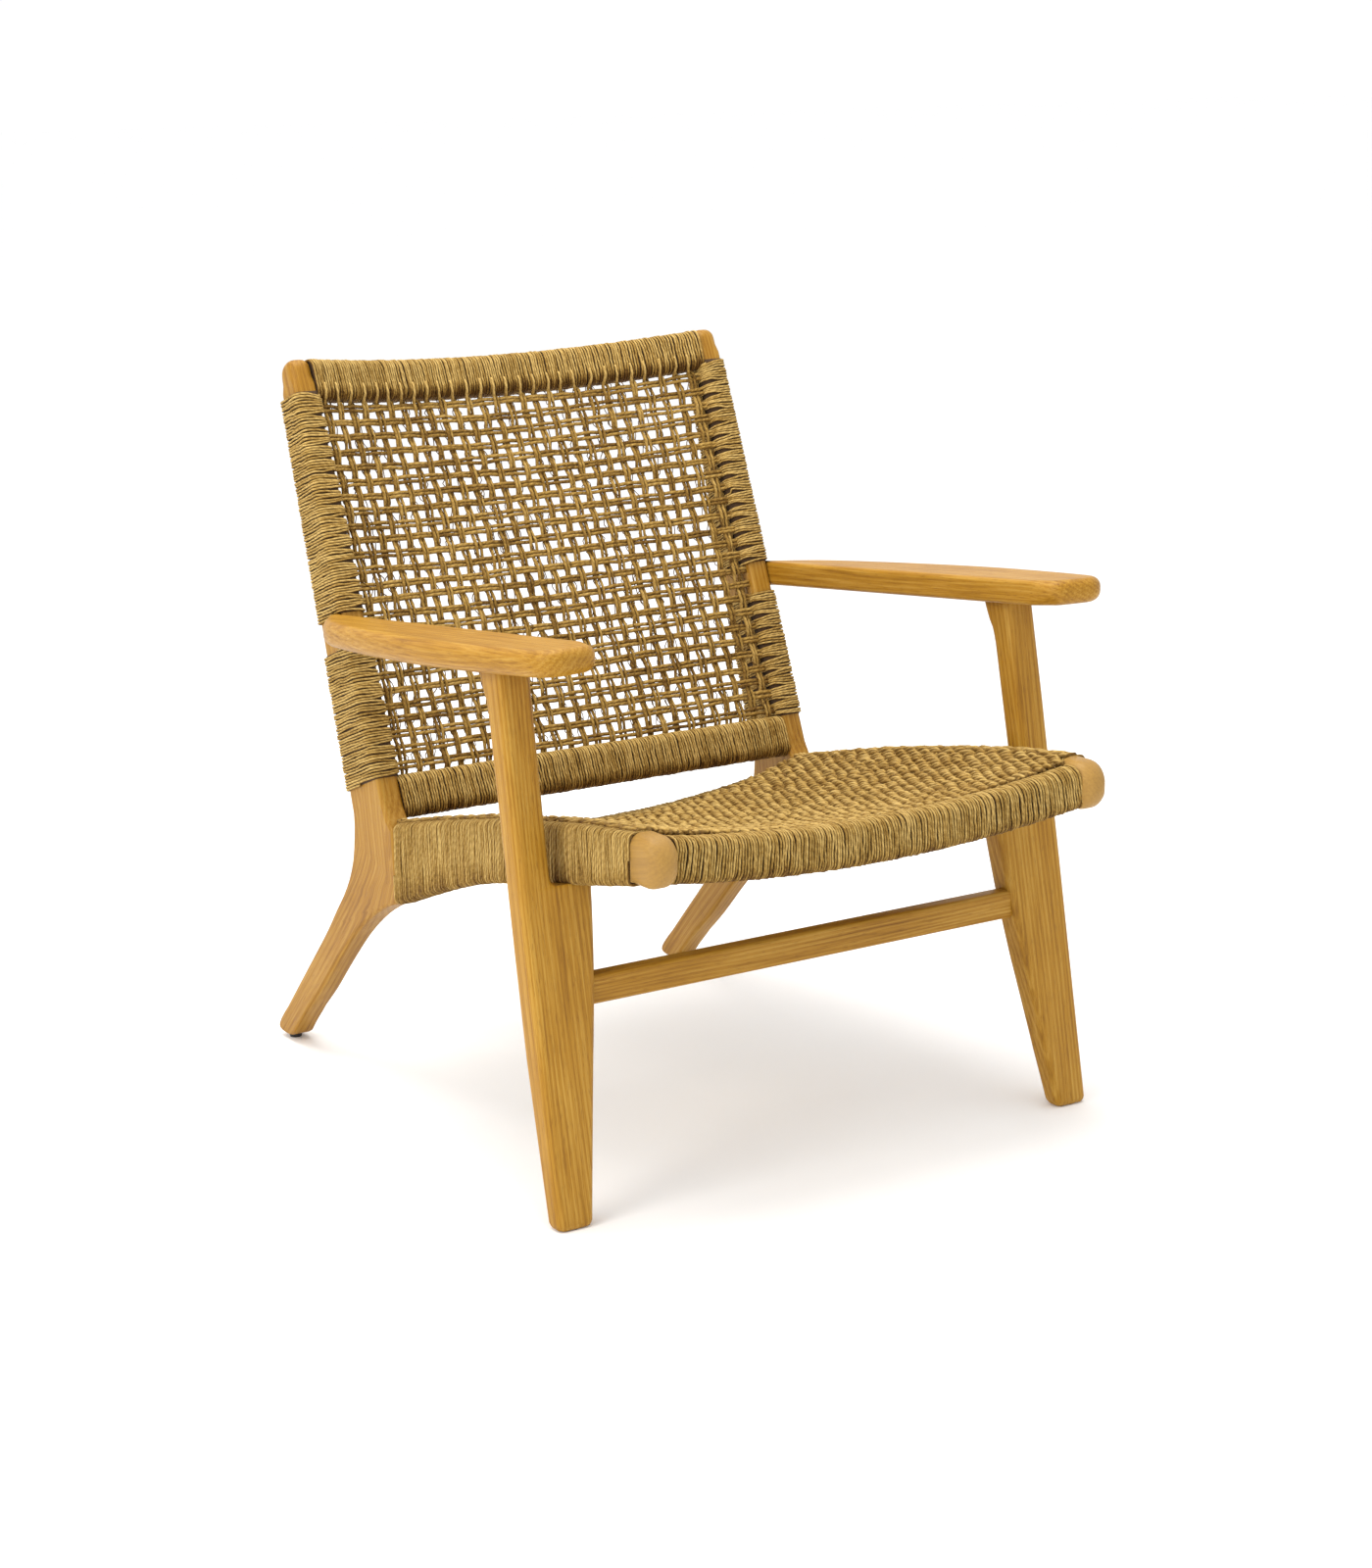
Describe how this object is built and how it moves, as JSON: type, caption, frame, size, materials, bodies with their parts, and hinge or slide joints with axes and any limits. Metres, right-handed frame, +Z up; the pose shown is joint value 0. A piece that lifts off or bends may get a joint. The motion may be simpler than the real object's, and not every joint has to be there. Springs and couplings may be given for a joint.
{
  "type": "lounge armchair",
  "caption": "Low lounge armchair with a sawn hardwood frame, paddle arms, a dished cord-woven seat and an open cord-woven back; it stands on floor glides.",
  "frame": {"origin": "centre of the chair's box on the floor, where the glides stand", "axes": "+X across the width, to the viewer's right when facing the front; -Y the way the sitter faces; +Z up"},
  "size_m": [0.6928, 0.7804, 0.7594],
  "materials": {
    "hardwood": "oiled straight-grained honey hardwood, edges rounded",
    "dowel": "plain dowel, hidden",
    "cord_wrap": "two-ply natural cord wound side by side",
    "seat_cord": "two-ply natural cord, close diagonal weave",
    "back_cord": "two-ply natural cord, open square weave",
    "glide": "moulded black glide"
  },
  "bodies": {
    "root": {"side_frame_left": "hardwood", "side_frame_right": "hardwood", "side_rail_left": "hardwood", "side_rail_right": "hardwood", "seat_front_rail": "hardwood", "seat_rear_rail": "hardwood", "back_top_rail": "hardwood", "back_lower_rail": "hardwood", "arm_left": "hardwood", "arm_right": "hardwood", "front_leg_left": "hardwood", "front_leg_right": "hardwood", "stretcher": "hardwood", "arm_dowels": "dowel", "leg_dowels": "dowel", "rear_glides": "glide", "front_glides": "glide", "wrap_post_upper_left": "cord_wrap", "wrap_post_upper_right": "cord_wrap", "wrap_post_lower_left": "cord_wrap", "wrap_post_lower_right": "cord_wrap", "wrap_top_rail": "cord_wrap", "wrap_lower_rail": "cord_wrap", "wrap_side_rail_left": "cord_wrap", "wrap_side_rail_right": "cord_wrap", "wrap_front_rail": "cord_wrap", "wrap_rear_rail": "cord_wrap", "seat_weave": "seat_cord", "back_warp": "back_cord", "back_weft": "back_cord"}
  },
  "joints": []
}
